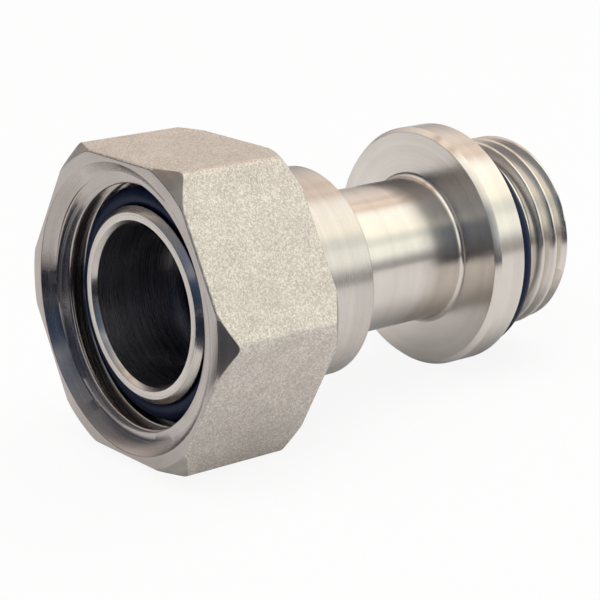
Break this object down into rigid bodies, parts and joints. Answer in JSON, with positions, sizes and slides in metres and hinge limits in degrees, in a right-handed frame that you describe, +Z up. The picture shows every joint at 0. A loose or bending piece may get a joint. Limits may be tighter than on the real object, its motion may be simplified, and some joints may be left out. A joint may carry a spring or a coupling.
{
  "type": "telescopic pipe fitting",
  "caption": "Telescopic water pipe fitting: loose hexagon union nut on a sealed sleeve, with a sliding tail that ends in a flange and a male pipe thread",
  "frame": {"origin": "centre of the footprint of the fitting as it lies, on the ground; +X runs along the fitting from the nut to the male thread", "axes": "+X along the fitting in plan, +Z up; the axis of the bore dips from the nut to the flange by about 4.5 degrees"},
  "size_m": [0.053, 0.0344, 0.031],
  "materials": {
    "blasted_nickel_plate": "nickel-plated brass forging, shot blasted",
    "turned_nickel_plate": "nickel-plated brass, fine turned",
    "polished_nickel_plate": "nickel-plated brass, fine turned and polished",
    "spring_wire": "drawn spring steel wire",
    "seal_rubber": "smooth black nitrile rubber"
  },
  "bodies": {
    "nut": {"union_nut": "blasted_nickel_plate"},
    "nut_seal": {"nut_o_ring": "seal_rubber"},
    "sleeve": {"seal_sleeve": "turned_nickel_plate", "sleeve_o_ring_front": "seal_rubber", "sleeve_o_ring_rear": "seal_rubber"},
    "stop_ring": {"retaining_ring": "spring_wire"},
    "tail": {"telescopic_tail": "polished_nickel_plate", "flange_o_ring": "seal_rubber"}
  },
  "joints": [
    {"name": "nut_back_off", "type": "slide", "parent": "nut", "child": "nut_seal", "axis": [0.9969, 0, -0.0782], "range_m": [-0.0088, 0.003]},
    {"name": "nut_swivel", "type": "hinge", "parent": "nut_seal", "child": "sleeve", "pos_m": [-0.02536, 0, 0.01606], "axis": [0.9969, 0, -0.0782], "continuous": true},
    {"name": "telescope", "type": "slide", "parent": "sleeve", "child": "stop_ring", "axis": [0.9969, 0, -0.0782], "range_m": [-0.0145, 0]},
    {"name": "tail_swivel", "type": "hinge", "parent": "stop_ring", "child": "tail", "pos_m": [-0.01264, 0, 0.01507], "axis": [0.9969, 0, -0.0782], "continuous": true}
  ]
}
